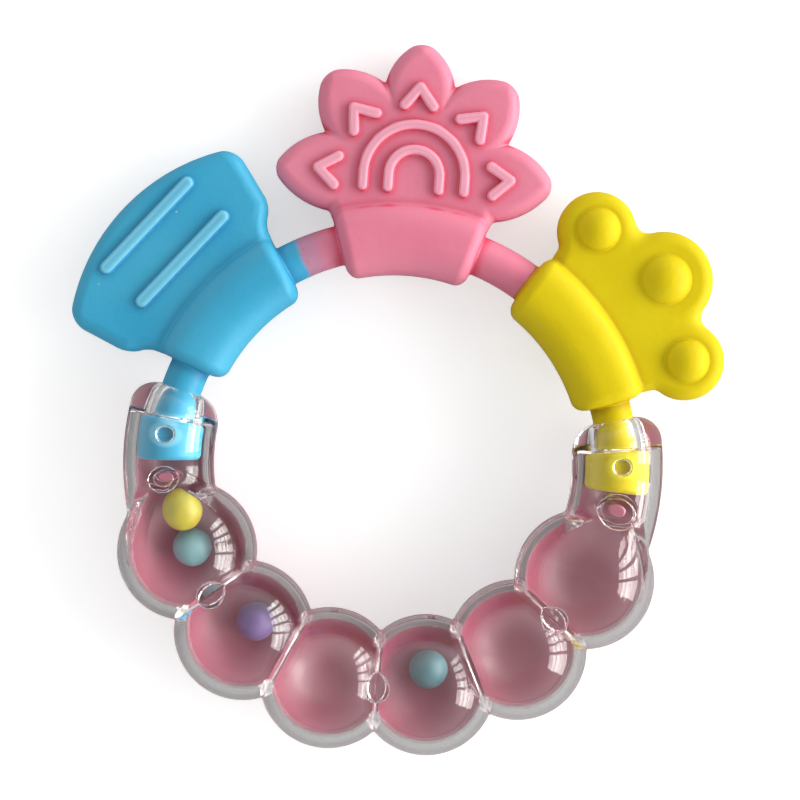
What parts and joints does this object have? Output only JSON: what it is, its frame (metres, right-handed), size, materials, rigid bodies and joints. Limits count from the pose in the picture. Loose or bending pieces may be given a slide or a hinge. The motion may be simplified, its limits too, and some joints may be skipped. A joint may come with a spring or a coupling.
{
  "type": "teething ring",
  "caption": "Teething ring: a clear and pink rattle chain of hollow bubbles with loose beads, closed by a silicone strip with fan, sun and cloud chewing paddles.",
  "frame": {"origin": "centre of the hand opening, on the parting plane of the two shells", "axes": "+Z out of the clear front shell, +Y towards the pink sun paddle, +X towards the yellow paddle's side"},
  "size_m": [0.1108, 0.1201, 0.0236],
  "materials": {
    "clear_plastic": "clear, polished",
    "pink_plastic": "milky, satin",
    "blue_silicone": "soft satin silicone",
    "pink_silicone": "soft satin silicone",
    "yellow_silicone": "soft satin silicone",
    "yellow_plastic": "satin",
    "mint_plastic": "satin",
    "purple_plastic": "satin"
  },
  "bodies": {
    "ring": {"front_shell": "clear_plastic", "rear_shell": "pink_plastic", "blue_teether": "blue_silicone", "pink_teether": "pink_silicone", "yellow_teether": "yellow_silicone"},
    "yellow_bead": {"yellow_bead": "yellow_plastic"},
    "mint_bead": {"mint_bead": "mint_plastic"},
    "purple_bead": {"purple_bead": "purple_plastic"},
    "lower_mint_bead": {"lower_mint_bead": "mint_plastic"}
  },
  "joints": [
    {"name": "yellow_bead_lift", "type": "slide", "parent": "ring", "child": "yellow_bead", "axis": [0, 0, 1], "range_m": [0, 0.0045]},
    {"name": "mint_bead_roll", "type": "hinge", "parent": "ring", "child": "mint_bead", "pos_m": [-0.03377, -0.01721, 0], "axis": [0.454, -0.891, 0], "continuous": true},
    {"name": "purple_bead_hop", "type": "hinge", "parent": "ring", "child": "purple_bead", "pos_m": [-0.0152, -0.03229, -0.00724], "axis": [0.4258, 0.9048, 0], "range_deg": [0, 163.83]},
    {"name": "lower_mint_bead_hop", "type": "hinge", "parent": "ring", "child": "lower_mint_bead", "pos_m": [0.0152, -0.03229, -0.00724], "axis": [-0.4258, 0.9048, 0], "range_deg": [0, 163.83]}
  ]
}
